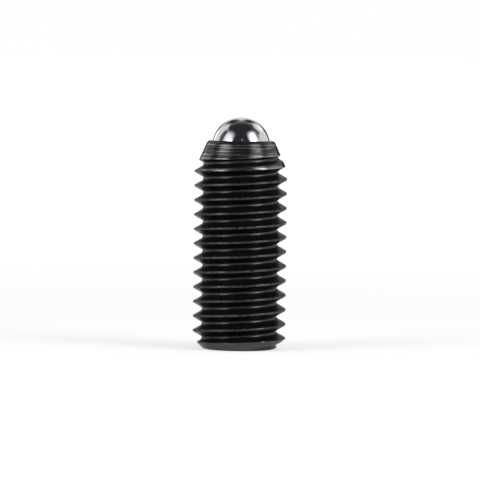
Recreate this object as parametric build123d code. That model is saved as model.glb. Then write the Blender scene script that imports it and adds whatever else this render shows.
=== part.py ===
from build123d import *
import os
from math import ceil, cos, radians, sqrt, tan

# Ball spring plunger: an M8 threaded body with a hexagon socket in its foot, and a steel ball that a
# coil spring presses up against a lip rolled in at the rim. It stands on its foot, with Z along its
# axis and the origin at the middle of the foot. Lengths are in millimetres, angles in degrees.

# Thread: ISO metric coarse, right-hand, run out through the cone and through the foot's chamfer
thread_diameter = 8.0
thread_pitch = 1.25
thread_angle = 60.0
crest_share = 1 / 8  # the flat left on a crest, as a share of the pitch
depth_share = 17 / 24  # the depth of the cut, as a share of the sharp V's height

# Turned outline of the body
body_length = 18.0  # from the foot to the rim
foot_diameter = 6.2  # where the chamfer would meet the foot if that edge were sharp
foot_chamfer_angle = 45.0  # from the axis
foot_edge_break = 0.17
nose_diameter = 5.73  # where the cone would meet the rim if that edge were sharp
nose_cone_angle = 24.0  # from the axis
rim_edge_break = 0.2

# Ball
ball_diameter = 5.0
ball_rise = 2.0  # how far it stands above the rim
ball_travel = 1.5  # how far it can be pressed in

# Bore that holds the ball and the spring
ball_clearance = 0.05  # from the ball to the bore's wall, all round
lip_height = 0.6  # the length of wall that is rolled in over the ball
lip_clearance = 0.01  # from the ball to the lip's edge

# Compression spring, closed and ground flat at both ends
wire_diameter = 0.65
wire_sides = 6  # the round wire is drawn as a bar with this many sides
spring_clearance = 0.1  # from the coils to the bore's wall, all round
spring_turns = 4.5
closed_turns = 0.75  # at each end
ramp_turns = 0.25  # over which the pitch opens out from a closed end
closed_gap = 0.04  # between the wires of a closed end
tip_share = 1 / 4  # the thickness of wire that grinding leaves at the tips, as a share
seat_clearance = 0.01  # from the spring to the ball
spring_reserve = 2.0  # how much further the spring could close with the ball pressed in

# Hexagon socket for a 4 mm key
socket_across_flats = 4.0
socket_depth = 4.0
socket_lead = 0.14  # how far the countersunk mouth passes the hexagon's corners
socket_mouth_angle = 60.0  # from the axis
drill_point_angle = 59.0  # from the axis

# Sizes that follow
thread_radius = thread_diameter / 2
thread_depth = depth_share * thread_pitch / (2 * tan(radians(thread_angle / 2)))
ball_radius = ball_diameter / 2
ball_height = body_length + ball_rise - ball_radius
bore_radius = ball_radius + ball_clearance
wire_radius = wire_diameter / 2
coil_radius = bore_radius - spring_clearance - wire_radius
spring_top = ball_height - sqrt(ball_radius**2 - (coil_radius - wire_radius) ** 2) - seat_clearance
bore_floor = spring_top - spring_turns * wire_diameter - ball_travel - spring_reserve


def cone_run(radius_change, angle_from_axis):
    """How far along the axis a cone takes to change its radius."""
    return radius_change / tan(radians(angle_from_axis))


def thread_groove():
    """The helical V that the thread is cut with, from below the foot to above the rim."""
    flank = tan(radians(thread_angle / 2))
    overshoot = 0.08 * thread_pitch  # past the crest, so that the V cuts clean through it
    root_radius = thread_radius - thread_depth
    half_mouth = thread_pitch * (1 - crest_share) / 2 + overshoot * flank
    half_root = half_mouth - (thread_depth + overshoot) * flank
    start = -1.5 * thread_pitch
    turns_at_a_time = 4
    lengths = ceil((body_length / thread_pitch + 3) / turns_at_a_time)
    step = turns_at_a_time * thread_pitch
    section = Polyline(
        (root_radius, start - half_root),
        (thread_radius + overshoot, start - half_mouth),
        (thread_radius + overshoot, start + half_mouth),
        (root_radius, start + half_root),
        close=True,
    )
    path = Wire(
        [
            Helix(thread_pitch, step, root_radius, center=(0, 0, start + step * length)).edge()
            for length in range(lengths)
        ]
    )
    return sweep(Plane.XZ * make_face(section), path=path, is_frenet=True)


def threaded_rod():
    """A rod with the thread along it, longer than the body at both ends."""
    spare = 8 * thread_pitch
    rod = Cylinder(thread_radius, body_length + 2 * spare)
    return Pos(0, 0, body_length / 2) * rod - thread_groove()


def turned_outline():
    """What the tool leaves at the ends: the chamfered foot and the coned nose, clear of the crests."""
    clear_radius = thread_radius + 0.5
    foot_radius = foot_diameter / 2
    nose_radius = nose_diameter / 2
    chamfer_top = cone_run(clear_radius - foot_radius, foot_chamfer_angle)
    cone_start = body_length - cone_run(clear_radius - nose_radius, nose_cone_angle)
    outline = make_face(
        Polyline(
            (0, 0),
            (foot_radius, 0),
            (clear_radius, chamfer_top),
            (clear_radius, cone_start),
            (nose_radius, body_length),
            (0, body_length),
            close=True,
        )
    )
    foot_edge = outline.vertices().sort_by_distance((foot_radius, 0))[0]
    outline = chamfer(foot_edge, foot_edge_break)
    rim_edge = outline.vertices().sort_by_distance((nose_radius, body_length))[0]
    outline = chamfer(rim_edge, rim_edge_break)
    return revolve(Plane.XZ * outline, Axis.Z)


def ball_bore():
    """The blind, flat-floored bore and the rolled lip that closes in on the ball."""
    above_equator = body_length - ball_height
    mouth_radius = sqrt(ball_radius**2 - above_equator**2) + lip_clearance
    past_rim = body_length + ball_rise
    outline = Polyline(
        (0, bore_floor),
        (bore_radius, bore_floor),
        (bore_radius, body_length - lip_height),
        (mouth_radius, body_length),
        (mouth_radius, past_rim),
        (0, past_rim),
        close=True,
    )
    return revolve(Plane.XZ * make_face(outline), Axis.Z)


def hexagon_socket():
    """The broached socket in the foot: hexagon, drill point beyond it and countersunk mouth."""
    flat_radius = socket_across_flats / 2
    corner_radius = flat_radius / cos(radians(30))
    hexagon = extrude(RegularPolygon(flat_radius, 6, major_radius=False), socket_depth)
    tip = cone_run(flat_radius, drill_point_angle)
    drill_point = Cone(flat_radius, 0, tip, align=(Align.CENTER, Align.CENTER, Align.MIN))
    mouth_radius = corner_radius + socket_lead
    mouth_depth = cone_run(mouth_radius, socket_mouth_angle)
    mouth = Cone(mouth_radius, 0, mouth_depth, align=(Align.CENTER, Align.CENTER, Align.MIN))
    return hexagon + Pos(0, 0, socket_depth) * drill_point + mouth


def threaded_body():
    return (threaded_rod() & turned_outline()) - ball_bore() - hexagon_socket()


def spring():
    """A helix of wire whose pitch is small at the closed ends, ground flat at both."""
    closed_pitch = wire_diameter + closed_gap
    steady_turns = spring_turns - 2 * (closed_turns + ramp_turns)
    ground_away = wire_radius - tip_share * wire_diameter
    rise = spring_top - bore_floor + 2 * ground_away
    closed_rise = (2 * closed_turns + ramp_turns) * closed_pitch
    open_pitch = (rise - closed_rise) / (steady_turns + ramp_turns)
    ramp_pitch = (closed_pitch + open_pitch) / 2
    coils = [
        (closed_turns, closed_pitch),
        (ramp_turns, ramp_pitch),
        (steady_turns, open_pitch),
        (ramp_turns, ramp_pitch),
        (closed_turns, closed_pitch),
    ]
    path = []
    turned = 0
    height = bore_floor - ground_away
    for turns, pitch in coils:
        coil = Helix(pitch, turns * pitch, coil_radius)
        path.append((Pos(0, 0, height) * Rot(0, 0, 360 * turned) * coil).edge())
        turned += turns
        height += turns * pitch
    across = Plane(origin=path[0] @ 0, z_dir=path[0] % 0, x_dir=(1, 0, 0))
    section = across * RegularPolygon(wire_radius, wire_sides)
    wire = sweep(section, path=Wire(path), is_frenet=True)
    length = spring_top - bore_floor
    ground = Cylinder(bore_radius, length, align=(Align.CENTER, Align.CENTER, Align.MIN))
    return wire & Pos(0, 0, bore_floor) * ground


def ball():
    return Pos(0, 0, ball_height) * Sphere(ball_radius)


def main():
    parts = {
        "threaded_body": threaded_body(),
        "spring": spring(),
        "ball": ball(),
    }
    os.makedirs("parts", exist_ok=True)
    for name, solid in parts.items():
        export_step(solid, f"parts/{name}.step")


main()
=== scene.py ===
import math
from collections import namedtuple

import bmesh
import bpy
from bpy.props import FloatProperty, FloatVectorProperty, IntProperty, PointerProperty
from mathutils import Matrix, Vector


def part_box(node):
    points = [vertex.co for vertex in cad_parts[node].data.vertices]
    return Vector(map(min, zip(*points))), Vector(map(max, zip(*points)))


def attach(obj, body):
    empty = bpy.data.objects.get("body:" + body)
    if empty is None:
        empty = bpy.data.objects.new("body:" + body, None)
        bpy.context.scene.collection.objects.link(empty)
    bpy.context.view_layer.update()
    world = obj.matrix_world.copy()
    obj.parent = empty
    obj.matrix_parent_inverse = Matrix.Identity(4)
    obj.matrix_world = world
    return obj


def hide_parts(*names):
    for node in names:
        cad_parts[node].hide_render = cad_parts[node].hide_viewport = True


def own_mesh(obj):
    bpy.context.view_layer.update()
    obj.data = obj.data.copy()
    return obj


bl_info = {
    "name": "Ball Spring Plunger",
    "version": (1, 0, 0),
    "blender": (4, 5, 0),
    "location": "View3D > Sidebar > Plunger",
    "description": "Models a ball spring plunger piece by piece and sets up a studio for it",
    "category": "Add Mesh",
}

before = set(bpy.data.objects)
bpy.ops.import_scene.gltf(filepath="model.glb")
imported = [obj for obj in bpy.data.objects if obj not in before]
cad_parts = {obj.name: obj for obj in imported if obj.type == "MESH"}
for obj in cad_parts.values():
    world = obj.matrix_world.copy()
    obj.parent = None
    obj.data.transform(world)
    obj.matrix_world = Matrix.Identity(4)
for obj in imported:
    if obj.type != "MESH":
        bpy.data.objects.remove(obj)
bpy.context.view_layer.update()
BODY_LOW, BODY_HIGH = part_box("threaded_body")
BALL_LOW, BALL_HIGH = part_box("ball")
SPRING_LOW, SPRING_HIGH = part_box("spring")
CREST_RADIUS = min(*BODY_HIGH.xy, *-BODY_LOW.xy)  # the least of the four sides
BALL_RADIUS = (BALL_HIGH.z - BALL_LOW.z) / 2
BALL_HEIGHT = (BALL_HIGH.z + BALL_LOW.z) / 2

MM = 0.001
FULL_TURN = 2 * math.pi
AXIS = Vector((0, 0, 1))
CENTRE = Vector((0, 0, 0))
RIM = Vector((0, 0, BODY_HIGH.z))  # the middle of the rim, which the lamps and cards face
WELD = 0.002 * MM  # vertices that are nearer than this become one


# Sizes and colours that a user would change


def length(name, description, millimetres):
    """A size in Blender's metres, whose default is given in millimetres."""
    return FloatProperty(
        name=name,
        description=description,
        default=millimetres * MM,
        min=0,
        precision=6,
        subtype="DISTANCE",
        unit="LENGTH",
    )


def angle(name, description, degrees):
    return FloatProperty(
        name=name,
        description=description,
        default=math.radians(degrees),
        subtype="ANGLE",
        unit="ROTATION",
    )


def colour(name, description, rgb):
    return FloatVectorProperty(
        name=name, description=description, default=rgb, size=3, min=0, max=1, subtype="COLOR"
    )


def share(name, description, value):
    return FloatProperty(
        name=name, description=description, default=value, min=0, max=1, subtype="FACTOR"
    )


class ThreadSizes(bpy.types.PropertyGroup):
    """The screw thread that runs along the whole body."""

    pitch: length("Pitch", "Distance between neighbouring crests along the axis", 1.25)
    flank_angle: angle("Flank angle", "Angle between a flank and a plane across the axis", 30)
    crest_share: share("Crest share", "Flat left on the crest, as a share of the pitch", 1 / 8)
    depth: length("Depth", "From the crest down to the bottom of the root", 0.7668)
    crest_round: length("Crest rounding", "Radius worn on both edges of the crest", 0.02)
    steps_per_turn: IntProperty(
        name="Steps per turn", description="How finely the thread is spun", default=128, min=24
    )


class BodySizes(bpy.types.PropertyGroup):
    """The turned ends of the body, its ball bore and its key socket."""

    foot_radius: length("Foot radius", "Where the chamfer would meet the foot if sharp", 3.1)
    foot_round: length("Foot rounding", "Radius between the chamfer and the foot", 0.42)
    chamfer_angle: angle("Chamfer angle", "Angle of the foot's chamfer from the axis", 45)
    nose_radius: length("Nose radius", "Where the cone would meet the rim if sharp", 2.865)
    nose_round: length("Nose rounding", "Radius between the cone and the rim", 0.42)
    cone_angle: angle("Cone angle", "Angle of the nose's cone from the axis", 24)
    edge_round: length("Edge rounding", "Softness where a turned cone cuts the thread", 0.03)
    feed: length("Feed", "Spacing of the turning marks on the cones", 0.27)
    feed_depth: length("Feed depth", "Depth of the turning marks on the cones", 0.016)
    bore_radius: length("Bore radius", "Radius of the bore for the ball and the spring", 2.55)
    lip_height: length("Lip height", "Length of wall rolled in over the ball", 0.6)
    lip_gap: length("Lip gap", "Gap between the lip's edge and the ball", 0.01)
    lip_round: length("Lip rounding", "Radius on the lip's inner edge", 0.05)
    socket_flats: length("Socket width", "Distance across the socket's flats", 4.0)
    socket_depth: length("Socket depth", "Depth of the socket's flats", 4.0)
    socket_lead: length("Socket lead", "How far the mouth's countersink passes the corners", 0.14)
    socket_mouth_angle: angle("Mouth angle", "Angle of the socket's mouth from the axis", 60)
    drill_angle: angle("Drill angle", "Angle of the drill point from the axis", 59)


class SpringSizes(bpy.types.PropertyGroup):
    """The coil spring between the bore's floor and the ball."""

    wire_radius: length("Wire radius", "Radius of the round wire", 0.325)
    turns: FloatProperty(name="Turns", description="Turns of wire in all", default=4.5, min=2)
    closed_turns: FloatProperty(
        name="Closed turns", description="Turns that lie together at each end", default=0.75, min=0
    )
    ramp_turns: FloatProperty(
        name="Ramp turns", description="Turns over which the pitch opens out", default=0.25, min=0
    )
    closed_gap: length("Closed gap", "Gap between the wires of a closed end", 0.04)
    tip_share: share("Tip share", "Thickness of wire that grinding leaves at the tips", 1 / 4)


class Finishes(bpy.types.PropertyGroup):
    """Colours of the three metals."""

    oxide: colour("Black oxide", "Oiled black oxide on the body", (0.025, 0.0235, 0.0245))
    worn_oxide: colour(
        "Worn oxide", "Brownish steel where crests are rubbed", (0.077, 0.064, 0.064)
    )
    turned_oxide: colour(
        "Turned oxide", "Thin bright oxide on the turned nose", (0.290, 0.278, 0.295)
    )
    foot_oxide: colour("Foot oxide", "Paler oxide on the foot's chamfer", (0.105, 0.097, 0.102))
    ball_steel: colour("Ball steel", "Polished bearing steel", (0.62, 0.61, 0.63))
    wire_steel: colour("Wire steel", "Drawn spring wire", (0.42, 0.42, 0.43))


class StudioSizes(bpy.types.PropertyGroup):
    """Where the camera and the lamps stand."""

    bearing: angle("Bearing", "Turns the camera, the lamps and the cards about the plunger", -90)
    camera_distance: length("Camera distance", "From the camera to the plunger's axis", 450)
    camera_height: length("Camera height", "How high the camera is above the floor", 33)
    camera_aim: length("Aim height", "Height on the axis that the camera looks at", 9.4)
    camera_roll: angle("Camera roll", "How far the camera leans about its own axis", 0.7)
    lens: FloatProperty(name="Lens", description="Focal length in millimetres", default=392)


class PlungerSettings(bpy.types.PropertyGroup):
    """All the sizes and colours of the plunger and of its studio."""

    thread: PointerProperty(type=ThreadSizes)
    body: PointerProperty(type=BodySizes)
    spring: PointerProperty(type=SpringSizes)
    finishes: PointerProperty(type=Finishes)
    studio: PointerProperty(type=StudioSizes)


# Mesh helpers


def new_piece(name, bm, material, smooth_angle=35):
    """A finished object at the origin, with smooth shading that breaks at sharp edges."""
    mesh = bpy.data.meshes.new(name)
    for face in bm.faces:
        face.smooth = True
    limit = math.radians(smooth_angle)
    for edge in bm.edges:
        edge.smooth = edge.calc_face_angle(0) < limit
    bm.to_mesh(mesh)
    bm.free()
    piece = bpy.data.objects.new(name, mesh)
    bpy.context.scene.collection.objects.link(piece)
    mesh.materials.append(material)
    return piece


def open_rim(bm, height):
    """The open boundary edges of a mesh that lie at one height."""
    slack = 0.005 * MM
    return [
        edge
        for edge in bm.edges
        if edge.is_boundary and all(abs(vert.co.z - height) < slack for vert in edge.verts)
    ]


def extrude_rings(bm, edges, rings):
    """Carries an open ring of edges on through rings of (radius, height).

    A radius may also be a function of the turn, for a ring that is not round.
    """
    for radius_at, height in rings:
        extruded = bmesh.ops.extrude_edge_only(bm, edges=edges)["geom"]
        edges = [item for item in extruded if isinstance(item, bmesh.types.BMEdge)]
        for vert in {vert for edge in edges for vert in edge.verts}:
            turn = math.atan2(vert.co.y, vert.co.x)
            radius = radius_at(turn) if callable(radius_at) else radius_at
            vert.co = (radius * math.cos(turn), radius * math.sin(turn), height)
    return edges


def cut_across(bm, height, outward):
    """Cuts a mesh square to the axis, takes off the outer part and returns the cut edges."""
    cut = bmesh.ops.bisect_plane(
        bm,
        geom=bm.verts[:] + bm.edges[:] + bm.faces[:],
        plane_co=(0, 0, height),
        plane_no=outward,
        clear_outer=True,
    )
    return [item for item in cut["geom_cut"] if isinstance(item, bmesh.types.BMEdge)]


def close_ring(bm, edges):
    """Closes a ring of edges with a fan of triangles to its middle."""
    fan = bmesh.ops.extrude_edge_only(bm, edges=edges)["geom"]
    tip = [item for item in fan if isinstance(item, bmesh.types.BMVert)]
    height = tip[0].co.z
    bmesh.ops.pointmerge(bm, verts=tip, merge_co=(0, 0, height))


def arc(centre, radius, start, end, steps):
    """Points round an arc in the (radius, height) plane, from one angle to another."""
    points = []
    for step in range(steps + 1):
        turn = start + (end - start) * step / steps
        points.append(
            (centre[0] + radius * math.cos(turn), centre[1] + radius * math.sin(turn))
        )
    return points


def fillet(before, corner, after, radius, steps):
    """Points round the fillet at a corner of a (radius, height) profile."""
    corner, before, after = Vector(corner), Vector(before), Vector(after)
    back = (before - corner).normalized()
    ahead = (after - corner).normalized()
    half = back.angle(ahead) / 2
    centre = corner + (back + ahead).normalized() * radius / math.sin(half)
    start = corner + back * radius / math.tan(half)
    sweep = math.pi - 2 * half
    side = 1 if back.cross(ahead) > 0 else -1
    points = []
    for step in range(steps + 1):
        arm = start - centre
        arm.rotate(Matrix.Rotation(-side * sweep * step / steps, 2))
        points.append(tuple(centre + arm))
    return points


def smooth_least(first, second, softness):
    """The lesser of two values, rounded where they cross."""
    blend = min(max(0.5 + 0.5 * (second - first) / softness, 0), 1)
    return second + (first - second) * blend - softness * blend * (1 - blend)


# Threaded body


def thread_profile(thread):
    """(radius, height) along one pitch of the thread, from the middle of a crest to the next."""
    root_radius = CREST_RADIUS - thread.depth
    half_crest = thread.crest_share * thread.pitch / 2
    slope = math.tan(thread.flank_angle)
    sharp_depth = (thread.pitch / 2 - half_crest) / slope
    spare = sharp_depth - thread.depth
    arc_radius = spare * math.sin(thread.flank_angle) / (1 - math.sin(thread.flank_angle))
    middle = thread.pitch / 2
    edge_steps, flank_steps, root_steps = 2, 7, 5
    crest_edge = (CREST_RADIUS, half_crest)
    sharp_root = (CREST_RADIUS - sharp_depth, middle)
    edge = fillet((CREST_RADIUS, 0), crest_edge, sharp_root, thread.crest_round, edge_steps)
    root_middle = (root_radius + arc_radius, middle)
    root_start = math.pi / 2 + thread.flank_angle
    root = arc(root_middle, arc_radius, -root_start, -math.pi, root_steps)
    lower = [(CREST_RADIUS, 0), (CREST_RADIUS, half_crest / 2)] + edge
    start, end = Vector(edge[-1]), Vector(root[0])
    for step in range(1, flank_steps):
        lower.append(tuple(start.lerp(end, step / flank_steps)))
    lower += root
    upper = [(radius, thread.pitch - height) for radius, height in reversed(lower[:-1])]
    return lower + upper


def turning_mark(height, body):
    """How deep the tool's feed has cut at a height: shallow scallops of uneven depth."""
    turn = height / body.feed
    narrowness = 3
    scallop = abs(math.sin(math.pi * turn)) ** narrowness
    drift = math.sin(2.3 * turn + 0.7)  # out of step with the feed
    unevenness = 0.6 + 0.4 * drift
    return body.feed_depth * (1 - scallop) * unevenness


def turned_radius(height, body):
    """The radius that the turned cones allow at a height."""
    foot = body.foot_radius + (height - BODY_LOW.z) * math.tan(body.chamfer_angle)
    nose = body.nose_radius + (BODY_HIGH.z - height) * math.tan(body.cone_angle)
    return min(foot, nose) - turning_mark(height, body)


def spin_thread(thread):
    """The thread's open skin, from below the foot to above the rim."""
    below = 2 * thread.pitch
    pitches = math.ceil((BODY_HIGH.z - BODY_LOW.z + below) / thread.pitch) + 1
    bm = bmesh.new()
    verts = []
    for number in range(pitches):
        start = BODY_LOW.z - below + number * thread.pitch
        for radius, height in thread_profile(thread)[:-1]:
            verts.append(bm.verts.new((radius, 0, start + height)))
    edges = [bm.edges.new(pair) for pair in zip(verts, verts[1:])]
    bmesh.ops.spin(
        bm,
        geom=verts + edges,
        cent=CENTRE,
        axis=AXIS,
        dvec=AXIS * thread.pitch / thread.steps_per_turn,
        angle=FULL_TURN,
        steps=thread.steps_per_turn,
    )
    bmesh.ops.remove_doubles(bm, verts=bm.verts, dist=WELD)
    return bm


def turn_cones(bm, body):
    """Brings the skin in to the turned cones, and notes where they were cut in an attribute."""
    turned = bm.verts.layers.float.new("turned")
    worn = bm.verts.layers.float.new("worn_edge")
    for vert in bm.verts:
        radius = math.hypot(vert.co.x, vert.co.y)
        limit = turned_radius(vert.co.z, body)
        brought_in = smooth_least(radius, limit, body.edge_round)
        vert[turned] = min(max((radius - limit) / body.edge_round + 0.5, 0), 1)
        vert[worn] = max(0, 1 - abs(radius - limit) / (2 * body.edge_round))
        vert.co.x *= brought_in / radius
        vert.co.y *= brought_in / radius


def socket_radius(body, height):
    """A function of the turn that gives the socket's wall: hexagon, or the wider mouth cone."""
    flat = body.socket_flats / 2
    mouth = flat / math.cos(math.pi / 6) + body.socket_lead
    cone = mouth - height * math.tan(body.socket_mouth_angle)
    sixth = math.pi / 3

    def radius_at(turn):
        off_flat = (turn % sixth) - sixth / 2
        return max(flat / math.cos(off_flat), cone)

    return radius_at


def socket_rings(body):
    """The rings of the key socket, from its mouth in the foot to its drill point."""
    flat = body.socket_flats / 2
    corner = flat / math.cos(math.pi / 6)
    mouth_depth = (corner + body.socket_lead - flat) / math.tan(body.socket_mouth_angle)
    mouth_steps = 8
    rings = []
    for step in range(mouth_steps + 1):
        height = mouth_depth * step / mouth_steps
        rings.append((socket_radius(body, height), height))
    rings.append((socket_radius(body, body.socket_depth), body.socket_depth))
    drill_radius = 0.985 * flat  # just inside the flats
    rings.append((drill_radius, body.socket_depth))
    drill_depth = drill_radius / math.tan(body.drill_angle)
    tip = 0.02  # the share of the drill point that is left blunt
    rings.append((tip * drill_radius, body.socket_depth + (1 - tip) * drill_depth))
    return rings


def meet_corners(edges, corners):
    """Turns the nearest vertices of a ring on to the corners that its next rings will have."""
    verts = {vert for edge in edges for vert in edge.verts}
    for corner in range(corners):
        direction = Matrix.Rotation(FULL_TURN * corner / corners, 3, "Z") @ Vector((1, 0, 0))
        nearest = max(verts, key=lambda vert: vert.co.xy.normalized().dot(direction.xy))
        radius = nearest.co.xy.length
        nearest.co.xy = direction.xy * radius


def foot_profile(body, start_height):
    """(radius, height) from the chamfer round to the flat foot."""
    chamfer_top = (turned_radius(start_height, body), start_height)
    foot_edge = (body.foot_radius, BODY_LOW.z)
    steps = 8
    return fillet(chamfer_top, foot_edge, (0, BODY_LOW.z), body.foot_round, steps)


def nose_profile(body, start_height):
    """(radius, height) up the last of the cone, with its turning marks, and round to the rim."""
    start = (turned_radius(start_height, body), start_height)
    rim_edge = (body.nose_radius, BODY_HIGH.z)
    cone_steps, round_steps = 16, 10
    rounding = fillet(start, rim_edge, (0, BODY_HIGH.z), body.nose_round, round_steps)
    cone_end = rounding[0][1]
    rings = []
    for step in range(1, cone_steps):
        height = start_height + (cone_end - start_height) * step / cone_steps
        rings.append((turned_radius(height, body), height))
    return rings + rounding


def bore_rings(body):
    """The rings from the lip's edge down the bore to its floor."""
    above_equator = BODY_HIGH.z - BALL_HEIGHT
    mouth = math.sqrt(BALL_RADIUS**2 - above_equator**2) + body.lip_gap
    lip_end = (body.bore_radius, BODY_HIGH.z - body.lip_height)
    rim_start = (body.nose_radius, BODY_HIGH.z)
    steps = 5
    rings = fillet(rim_start, (mouth, BODY_HIGH.z), lip_end, body.lip_round, steps)
    floor = SPRING_LOW.z
    return rings + [lip_end, (body.bore_radius, floor)]


def build_threaded_body(thread, body):
    bm = spin_thread(thread)
    turn_cones(bm, body)
    foot_cut = BODY_LOW.z + 0.1 * MM
    nose_cut = BODY_HIGH.z - 0.7 * MM
    cut_across(bm, foot_cut, -AXIS)
    cut_across(bm, nose_cut, AXIS)
    bmesh.ops.remove_doubles(bm, verts=bm.verts, dist=WELD)
    foot_edges = extrude_rings(bm, open_rim(bm, foot_cut), foot_profile(body, foot_cut))
    meet_corners(foot_edges, 6)
    close_ring(bm, extrude_rings(bm, foot_edges, socket_rings(body)))
    nose_edges = extrude_rings(bm, open_rim(bm, nose_cut), nose_profile(body, nose_cut))
    close_ring(bm, extrude_rings(bm, nose_edges, bore_rings(body)))
    bmesh.ops.recalc_face_normals(bm, faces=bm.faces)
    return bm


# Ball and spring


def build_ball():
    bm = bmesh.new()
    bmesh.ops.create_icosphere(
        bm, subdivisions=6, radius=BALL_RADIUS, matrix=Matrix.Translation((0, 0, BALL_HEIGHT))
    )
    return bm


def coil_stages(spring):
    """(turns, pitch) of each stretch of the spring, and how much wire is ground from each end."""
    closed_pitch = 2 * spring.wire_radius + spring.closed_gap
    steady_turns = spring.turns - 2 * (spring.closed_turns + spring.ramp_turns)
    ground_away = spring.wire_radius * (1 - 2 * spring.tip_share)
    rise = SPRING_HIGH.z - SPRING_LOW.z + 2 * ground_away
    closed_rise = (2 * spring.closed_turns + spring.ramp_turns) * closed_pitch
    open_pitch = (rise - closed_rise) / (steady_turns + spring.ramp_turns)
    opening = [
        (spring.ramp_turns / 3, closed_pitch + (open_pitch - closed_pitch) * part)
        for part in (1 / 6, 1 / 2, 5 / 6)
    ]
    closed = (spring.closed_turns, closed_pitch)
    stages = [closed, *opening, (steady_turns, open_pitch), *reversed(opening), closed]
    return stages, ground_away


def build_spring(spring):
    stages, ground_away = coil_stages(spring)
    coil_radius = SPRING_HIGH.x - spring.wire_radius
    upright = Matrix.Rotation(math.pi / 2, 4, "X")
    place = Matrix.Translation((coil_radius, 0, SPRING_LOW.z - ground_away))
    wire_sides, steps_per_turn = 20, 96
    bm = bmesh.new()
    bmesh.ops.create_circle(
        bm, segments=wire_sides, radius=spring.wire_radius, cap_ends=True, matrix=place @ upright
    )
    bm.faces.ensure_lookup_table()
    tip = bm.faces[0]
    geometry = [tip, *tip.edges, *tip.verts]
    for turns, pitch in stages:
        spun = bmesh.ops.spin(
            bm,
            geom=geometry,
            cent=CENTRE,
            axis=AXIS,
            dvec=AXIS * pitch / steps_per_turn,
            angle=turns * FULL_TURN,
            steps=round(turns * steps_per_turn),
        )
        geometry = spun["geom_last"]
    for height, outward in ((SPRING_LOW.z, -AXIS), (SPRING_HIGH.z, AXIS)):
        ground = cut_across(bm, height, outward)
        bmesh.ops.holes_fill(bm, edges=ground, sides=0)
    bmesh.ops.recalc_face_normals(bm, faces=bm.faces)
    return bm


# Materials


def new_tree(name):
    """A material with an empty node tree."""
    material = bpy.data.materials.new(name)
    material.use_nodes = True
    material.node_tree.nodes.clear()
    return material, material.node_tree


def give(tree, socket, value):
    """Sets a socket to a value, or links it where the value is another node's output."""
    if isinstance(value, bpy.types.NodeSocket):
        tree.links.new(value, socket)
    else:
        socket.default_value = value


def add_node(tree, kind, **inputs):
    """A new node with its inputs given, whose names have underscores for spaces."""
    node = tree.nodes.new(kind)
    for name, value in inputs.items():
        give(tree, node.inputs[name.replace("_", " ")], value)
    return node


def maths(tree, operation, *values):
    node = tree.nodes.new("ShaderNodeMath")
    node.operation = operation
    for socket, value in zip(node.inputs, values):
        give(tree, socket, value)
    return node.outputs[0]


def plus(tree, first, second):
    return maths(tree, "ADD", first, second)


def times(tree, first, second):
    return maths(tree, "MULTIPLY", first, second)


def greater(tree, first, second):
    return maths(tree, "MAXIMUM", first, second)


def combine(tree, x, y, z):
    return add_node(tree, "ShaderNodeCombineXYZ", X=x, Y=y, Z=z).outputs[0]


def noise(tree, vector, scale, detail=3.0, roughness=0.5):
    node = add_node(
        tree, "ShaderNodeTexNoise", Vector=vector, Scale=scale, Detail=detail, Roughness=roughness
    )
    return node.outputs["Fac"]


def ramp(tree, value, start, end, at_start=0.0, at_end=1.0):
    """A smooth step of a value, which is at_start up to the start and at_end from the end on."""
    node = add_node(
        tree,
        "ShaderNodeMapRange",
        Value=value,
        From_Min=start,
        From_Max=end,
        To_Min=at_start,
        To_Max=at_end,
    )
    node.interpolation_type = "SMOOTHSTEP"
    return node.outputs["Result"]


def mix_colours(tree, amount, first, second):
    node = tree.nodes.new("ShaderNodeMix")
    node.data_type = "RGBA"
    factor, colour_a, colour_b = (node.inputs[place] for place in (0, 6, 7))
    give(tree, factor, amount)
    give(tree, colour_a, first)
    give(tree, colour_b, second)
    return node.outputs[2]


def bump(tree, height, distance):
    return add_node(tree, "ShaderNodeBump", Height=height, Distance=distance, Strength=1.0)


def surface(tree, shader):
    """Makes a shader the material's surface."""
    add_node(tree, "ShaderNodeOutputMaterial", Surface=shader.outputs[0])


def metal(tree, **inputs):
    surface(tree, add_node(tree, "ShaderNodeBsdfPrincipled", **inputs))


def opaque(rgb):
    return (*rgb, 1.0)


def darker(rgb, share_left):
    return opaque([share_left * part for part in rgb])


def object_coordinates(tree):
    """Object coordinates in millimetres, and their parts, and the distance from the axis."""
    place = tree.nodes.new("ShaderNodeTexCoord").outputs["Object"]
    scaled = add_node(tree, "ShaderNodeVectorMath", Vector=place)
    scaled.operation = "SCALE"
    give(tree, scaled.inputs["Scale"], 1 / MM)
    vector = scaled.outputs[0]
    x, y, z = add_node(tree, "ShaderNodeSeparateXYZ", Vector=vector).outputs
    squares = plus(tree, maths(tree, "POWER", x, 2), maths(tree, "POWER", y, 2))
    return vector, x, y, z, maths(tree, "SQRT", squares)


def thread_phase(tree, x, y, z, radius, pitch):
    """Two coordinates that run round once across each pitch and stay constant along the thread."""
    turn = times(tree, z, FULL_TURN / pitch)
    sine = maths(tree, "SINE", turn)
    cosine = maths(tree, "COSINE", turn)
    across = plus(tree, times(tree, cosine, x), times(tree, sine, y))
    beside = maths(tree, "SUBTRACT", times(tree, sine, x), times(tree, cosine, y))
    return maths(tree, "DIVIDE", across, radius), maths(tree, "DIVIDE", beside, radius)


def attribute(tree, name):
    node = tree.nodes.new("ShaderNodeAttribute")
    node.attribute_name = name
    return node.outputs["Fac"]


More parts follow.
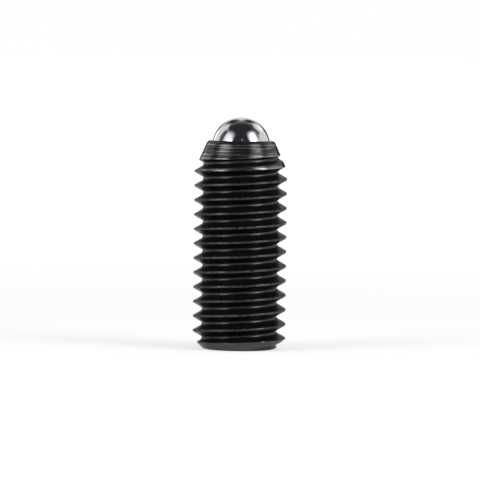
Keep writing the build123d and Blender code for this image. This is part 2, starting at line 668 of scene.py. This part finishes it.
def turning_marks(tree, thread, turned):
    """Fine marks that run along the thread, and rings that run round the turned cones."""
    _, x, y, z, radius = object_coordinates(tree)
    across, beside = thread_phase(tree, x, y, z, radius, thread.pitch / MM)
    slow_x = times(tree, x, 0.12)
    slow_y = times(tree, y, 0.12)
    along_thread = combine(tree, across, beside, plus(tree, slow_x, slow_y))
    thread_marks = noise(tree, along_thread, scale=9.0, detail=4.0, roughness=0.7)
    round_cones = combine(tree, times(tree, slow_x, 0.3), times(tree, slow_y, 0.3), z)
    ring_marks = noise(tree, round_cones, scale=6.8, detail=3.0, roughness=0.6)
    threaded = maths(tree, "SUBTRACT", 1.0, turned)
    return plus(tree, times(tree, thread_marks, threaded), times(tree, ring_marks, turned))


def black_oxide(thread, finishes):
    """Oiled black oxide on turned steel: rubbed crests, thin bright rings on the cones."""
    material, tree = new_tree("oiled_black_oxide")
    place, _, _, z, radius = object_coordinates(tree)
    turned = attribute(tree, "turned")
    marks = turning_marks(tree, thread, turned)
    blotches = noise(tree, place, scale=0.9, detail=3.0, roughness=0.6)
    grains = noise(tree, place, scale=22.0, detail=2.0, roughness=0.6)
    nicks = noise(tree, place, scale=2.4, detail=4.0, roughness=0.7)

    # Worn patches on the crests and on the edges that the cones cut
    crest_radius = CREST_RADIUS / MM
    crest = ramp(tree, radius, start=crest_radius - 0.035, end=crest_radius - 0.008)
    rubbed = greater(tree, crest, times(tree, attribute(tree, "worn_edge"), 0.8))
    patches = ramp(tree, plus(tree, nicks, times(tree, blotches, 0.5)), start=0.62, end=0.92)
    wear = times(tree, rubbed, plus(tree, times(tree, patches, 0.75), 0.25))

    # Thin oxide, which lets the steel show: a little in the roots, and in rings on the cones
    root_radius = crest_radius - thread.depth / MM
    root = ramp(tree, radius, start=root_radius + 0.12, end=root_radius + 0.03, at_end=0.11)
    foot = ramp(tree, z, start=1.6, end=1.0)
    stripes = ramp(tree, marks, start=0.49, end=0.63, at_start=0.10)
    bared = times(tree, turned, greater(tree, stripes, times(tree, foot, 0.55)))
    cones = mix_colours(tree, foot, opaque(finishes.turned_oxide), opaque(finishes.foot_oxide))
    base = mix_colours(tree, greater(tree, root, bared), opaque(finishes.oxide), cones)

    # The cones are twice as smooth as the thread
    unevenness = plus(tree, marks, blotches)
    rough = ramp(tree, unevenness, start=0.7, end=1.35, at_start=0.16, at_end=0.36)
    smoothing = maths(tree, "SUBTRACT", 1.0, times(tree, turned, 0.5))
    relief = bump(tree, grains, distance=0.0012 * MM)
    give(tree, relief.inputs["Normal"], bump(tree, marks, distance=0.010 * MM).outputs[0])
    metal(
        tree,
        Base_Color=mix_colours(tree, wear, base, opaque(finishes.worn_oxide)),
        Metallic=ramp(tree, wear, start=0.1, end=0.9, at_start=0.85, at_end=0.5),
        IOR=1.4,
        Specular_Tint=opaque((0.60, 0.59, 0.61)),
        Roughness=times(tree, rough, smoothing),
        Normal=relief.outputs[0],
    )
    return material


def ball_steel(finishes):
    """Mirror-polished bearing steel with the faintest polishing haze."""
    material, tree = new_tree("polished_ball_steel")
    place = object_coordinates(tree)[0]
    haze = noise(tree, place, scale=2.2, detail=4.0, roughness=0.65)
    hazed = darker(finishes.ball_steel, 0.96)
    clear = opaque(finishes.ball_steel)
    swirls = noise(tree, place, scale=6.0, detail=2.0)
    metal(
        tree,
        Base_Color=mix_colours(tree, ramp(tree, haze, start=0.3, end=0.7), hazed, clear),
        Metallic=1.0,
        Roughness=ramp(tree, haze, start=0.35, end=0.75, at_start=0.035, at_end=0.075),
        Normal=bump(tree, swirls, distance=0.0004 * MM).outputs[0],
    )
    return material


def spring_wire(finishes):
    """Drawn spring wire: bright, with marks that run along it and a faint oil film."""
    material, tree = new_tree("drawn_spring_wire")
    place, _, _, z, radius = object_coordinates(tree)
    drawn = combine(tree, times(tree, radius, 6.0), 0.0, times(tree, z, 0.5))
    marks = noise(tree, drawn, scale=3.0, detail=4.0, roughness=0.7)
    stains = noise(tree, place, scale=1.6, detail=3.0)
    oily = darker(finishes.wire_steel, 0.55)
    clean = opaque(finishes.wire_steel)
    metal(
        tree,
        Base_Color=mix_colours(tree, ramp(tree, stains, start=0.35, end=0.7), oily, clean),
        Metallic=1.0,
        Roughness=ramp(tree, marks, start=0.3, end=0.7, at_start=0.22, at_end=0.42),
        Normal=bump(tree, marks, distance=0.003 * MM).outputs[0],
    )
    return material


# Studio

# Lamps and cards hang about the middle of the rim. Their azimuth is 0 on the camera's side and
# positive to its right. Angles are in degrees, and lengths in millimetres.
Softbox = namedtuple("Softbox", "name azimuth elevation distance width height radiance")
SOFTBOXES = (
    Softbox("softbox_left", -53, 26, 350, 176, 250, 5.0),
    Softbox("softbox_right", 56, 27, 350, 200, 275, 5.0),
)

# How bright each kind of card is, where 1 is the white of the surround
CARD_FACES = {
    "left_glare": (7.0, 7.0, 7.0),
    "left_glow": (1.5, 1.5, 1.5),
    "right_glare": (9.0, 9.0, 9.0),
    "right_glow": (3.0, 3.0, 3.0),
    "dark_card": (0.036, 0.032, 0.040),
    "grey_card": (0.12, 0.11, 0.13),
    "dim_sheet": (0.40, 0.39, 0.42),
    "bright_sheet": (1.7, 1.7, 1.7),
}

# The fades are the shares of each half, across and upwards, over which a card thins out
Card = namedtuple(
    "Card", "name face azimuth elevation distance width height fade_across fade_up"
)
CARDS = (
    Card("glare_left", "left_glare", -50, 13, 350, 190, 190, 0.6, 0.8),
    Card("glow_left", "left_glow", -61, 31, 355, 370, 390, 0.7, 1.0),
    Card("glare_right", "right_glare", 54, 14, 350, 200, 190, 0.6, 0.8),
    Card("glow_right", "right_glow", 58, 32, 355, 350, 400, 0.8, 1.0),
    Card("canopy", "dark_card", 0, 60, 450, 1060, 2900, 0.3, 0.8),
    Card("card_front", "dark_card", 0, 5, 500, 700, 600, 0.3, 0.3),
    Card("behind_left", "dark_card", -158, 8, 700, 360, 420, 0.4, 0.4),
    Card("behind_right", "dark_card", 158, 8, 700, 360, 420, 0.4, 0.4),
    Card("card_left", "grey_card", -93, 22, 340, 210, 480, 0.7, 0.5),
    Card("card_right", "grey_card", 97, 47, 340, 160, 230, 0.8, 0.5),
    Card("arm_left", "dark_card", -157, 46, 600, 380, 480, 0.8, 0.6),
    Card("arm_right", "dark_card", 160, 46, 600, 300, 480, 0.8, 0.6),
    Card("sheet_left", "dim_sheet", -66, 30, 365, 260, 240, 0.8, 0.8),
    Card("sheet_right", "dim_sheet", 76, 33, 365, 300, 260, 0.8, 0.8),
    Card("sheet_behind", "bright_sheet", 136, 33, 400, 170, 150, 0.8, 0.8),
    Card("sheet_front", "dim_sheet", 4, 27, 450, 80, 60, 0.7, 0.7),
    Card("edge_left", "bright_sheet", -143, 12, 400, 170, 200, 0.7, 0.6),
)


def seen_directly(tree):
    """1 for rays from the camera and for what metal or glass reflects, 0 for the rest."""
    path = tree.nodes.new("ShaderNodeLightPath").outputs
    seen = greater(tree, path["Is Camera Ray"], path["Is Glossy Ray"])
    return greater(tree, seen, path["Is Transmission Ray"])


def studio_world(fill):
    """A white surround as it is seen, which lights the plunger at a plain level."""
    world = bpy.data.worlds.new("studio")
    world.use_nodes = True
    tree = world.node_tree
    tree.nodes.clear()
    strength = plus(tree, times(tree, seen_directly(tree), 1.0 - fill), fill)
    background = add_node(
        tree, "ShaderNodeBackground", Color=opaque((1, 1, 1)), Strength=strength
    )
    add_node(tree, "ShaderNodeOutputWorld", Surface=background.outputs[0])
    bpy.context.scene.world = world


def pale_floor():
    """A matt pale floor that reads as white and keeps the plunger's shadow."""
    just_below = Matrix.Translation((0, 0, BODY_LOW.z - 0.005 * MM))
    bm = bmesh.new()
    bmesh.ops.create_circle(
        bm, segments=96, radius=1500 * MM, cap_ends=True, matrix=just_below
    )
    material, tree = new_tree("pale_floor")
    from_axis = object_coordinates(tree)[-1]
    paleness = ramp(tree, from_axis, start=30.0, end=250.0, at_start=0.62, at_end=0.84)
    strength = times(tree, seen_directly(tree), paleness)
    matt = add_node(tree, "ShaderNodeBsdfDiffuse", Color=opaque((0.40, 0.40, 0.40)))
    glow = add_node(tree, "ShaderNodeEmission", Color=opaque((1, 1, 1)), Strength=strength)
    both = tree.nodes.new("ShaderNodeAddShader")
    give(tree, both.inputs[0], matt.outputs[0])
    give(tree, both.inputs[1], glow.outputs[0])
    surface(tree, both)
    floor = new_piece("floor", bm, material)


def toward(azimuth, elevation, distance, target):
    """A point at a bearing from the target, where 0 is the front and positive is to the right."""
    turn, rise = math.radians(azimuth), math.radians(elevation)
    direction = Vector(
        (math.sin(turn) * math.cos(rise), -math.cos(turn) * math.cos(rise), math.sin(rise))
    )
    return target + direction * distance


def about_rim(studio, hung):
    """Where a lamp or a card hangs."""
    azimuth = math.degrees(studio.bearing) + hung.azimuth
    return toward(azimuth, hung.elevation, hung.distance * MM, RIM)


def card_material(name, radiance):
    """A sheet of even brightness that fades out with its cover attribute."""
    material, tree = new_tree(name)
    glow = add_node(tree, "ShaderNodeEmission", Color=opaque(radiance), Strength=1.0)
    clear = tree.nodes.new("ShaderNodeBsdfTransparent")
    blend = tree.nodes.new("ShaderNodeMixShader")
    cover = ramp(tree, attribute(tree, "cover"), start=0.0, end=1.0)
    for socket, value in zip(blend.inputs, (cover, clear.outputs[0], glow.outputs[0])):
        give(tree, socket, value)
    surface(tree, blend)
    return material


def hang_card(card, material, studio):
    """Hangs a card that only shows in what the metal mirrors, and that casts no shadow."""
    bm = bmesh.new()
    bmesh.ops.create_grid(bm, x_segments=24, y_segments=24, size=1)
    cover = bm.verts.layers.float.new("cover")
    for vert in bm.verts:
        across = min(1, (1 - abs(vert.co.x)) / card.fade_across)
        up = min(1, (1 - abs(vert.co.y)) / card.fade_up)
        vert[cover] = across * up
    place = about_rim(studio, card)
    facing = (RIM - place).to_track_quat("-Z", "Y").to_matrix().to_4x4()
    half = Matrix.Diagonal((card.width * MM / 2, card.height * MM / 2, 1, 1))
    bmesh.ops.transform(bm, matrix=Matrix.Translation(place) @ facing @ half, verts=bm.verts)
    thing = new_piece(card.name, bm, material)
    thing.visible_camera = False
    thing.visible_diffuse = False
    thing.visible_shadow = False


def hang_softbox(softbox, studio):
    """Hangs a rectangular lamp, which no metal mirrors: its glare is a card."""
    lamp = bpy.data.lights.new(softbox.name, "AREA")
    lamp.shape = "RECTANGLE"
    lamp.size = softbox.width * MM
    lamp.size_y = softbox.height * MM
    lamp.energy = softbox.radiance * math.pi * lamp.size * lamp.size_y
    thing = bpy.data.objects.new(softbox.name, lamp)
    thing.location = about_rim(studio, softbox)
    thing.rotation_euler = (RIM - thing.location).to_track_quat("-Z", "Y").to_euler()
    thing.visible_glossy = False
    bpy.context.scene.collection.objects.link(thing)


def studio_camera(studio):
    camera = bpy.data.cameras.new("camera")
    camera.lens = studio.lens
    camera.sensor_width = 36
    camera.clip_start = 10 * MM
    camera.clip_end = 10_000 * MM
    thing = bpy.data.objects.new("camera", camera)
    level = Vector((0, 0, studio.camera_height))
    place = toward(math.degrees(studio.bearing), 0, studio.camera_distance, level)
    aim = Vector((0, 0, studio.camera_aim))
    turn = (aim - place).to_track_quat("-Z", "Y").to_matrix().to_4x4()
    roll = Matrix.Rotation(studio.camera_roll, 4, "Z")
    thing.matrix_world = Matrix.Translation(place) @ turn @ roll
    bpy.context.scene.collection.objects.link(thing)
    bpy.context.scene.camera = thing


# Operators


class PLUNGER_OT_threaded_body(bpy.types.Operator):
    """Model the threaded body: thread, coned nose with its lip, chamfered foot and key socket"""

    bl_idname = "plunger.threaded_body"
    bl_label = "Threaded Body"
    bl_options = {"REGISTER", "UNDO"}

    def execute(self, context):
        settings = context.scene.plunger
        bm = build_threaded_body(settings.thread, settings.body)
        material = black_oxide(settings.thread, settings.finishes)
        piece = new_piece("threaded_body_oxide", bm, material)
        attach(piece, "housing")
        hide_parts("threaded_body")
        return {"FINISHED"}


class PLUNGER_OT_ball(bpy.types.Operator):
    """Model the polished ball"""

    bl_idname = "plunger.ball"
    bl_label = "Ball"
    bl_options = {"REGISTER", "UNDO"}

    def execute(self, context):
        settings = context.scene.plunger
        piece = new_piece("ball_polished", build_ball(), ball_steel(settings.finishes))
        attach(piece, "ball")
        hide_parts("ball")
        return {"FINISHED"}


class PLUNGER_OT_spring(bpy.types.Operator):
    """Wind the compression spring, with closed and ground ends"""

    bl_idname = "plunger.spring"
    bl_label = "Spring"
    bl_options = {"REGISTER", "UNDO"}

    def execute(self, context):
        settings = context.scene.plunger
        bm = build_spring(settings.spring)
        piece = new_piece("spring_wound", bm, spring_wire(settings.finishes))
        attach(piece, "housing")
        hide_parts("spring")
        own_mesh(piece)
        return {"FINISHED"}


class PLUNGER_OT_studio(bpy.types.Operator):
    """Set up the pale floor, the white surround, the softboxes, the cards and the camera"""

    bl_idname = "plunger.studio"
    bl_label = "Studio"
    bl_options = {"REGISTER", "UNDO"}

    def execute(self, context):
        studio = context.scene.plunger.studio
        studio_world(fill=0.45)
        pale_floor()
        for softbox in SOFTBOXES:
            hang_softbox(softbox, studio)
        faces = {name: card_material(name, radiance) for name, radiance in CARD_FACES.items()}
        for card in CARDS:
            hang_card(card, faces[card.face], studio)
        studio_camera(studio)
        context.scene.view_settings.view_transform = "Standard"
        return {"FINISHED"}


class PLUNGER_PT_sidebar(bpy.types.Panel):
    """Lists the plunger's pieces and their sizes"""

    bl_idname = "PLUNGER_PT_sidebar"
    bl_label = "Ball Spring Plunger"
    bl_space_type = "VIEW_3D"
    bl_region_type = "UI"
    bl_category = "Plunger"

    def draw(self, context):
        settings = context.scene.plunger
        steps = (
            (PLUNGER_OT_threaded_body, (settings.thread, settings.body)),
            (PLUNGER_OT_ball, ()),
            (PLUNGER_OT_spring, (settings.spring,)),
            (PLUNGER_OT_studio, (settings.studio, settings.finishes)),
        )
        for operator, groups in steps:
            box = self.layout.box()
            box.operator(operator.bl_idname)
            for group in groups:
                for name in group.__annotations__:
                    box.prop(group, name)


CLASSES = (
    ThreadSizes,
    BodySizes,
    SpringSizes,
    Finishes,
    StudioSizes,
    PlungerSettings,
    PLUNGER_OT_threaded_body,
    PLUNGER_OT_ball,
    PLUNGER_OT_spring,
    PLUNGER_OT_studio,
    PLUNGER_PT_sidebar,
)


def register():
    for each in CLASSES:
        bpy.utils.register_class(each)
    bpy.types.Scene.plunger = PointerProperty(type=PlungerSettings)


def unregister():
    del bpy.types.Scene.plunger
    for each in reversed(CLASSES):
        bpy.utils.unregister_class(each)


def main():
    register()
    bpy.ops.plunger.threaded_body()
    bpy.ops.plunger.ball()
    bpy.ops.plunger.spring()
    bpy.ops.plunger.studio()


if __name__ == "__main__":
    main()
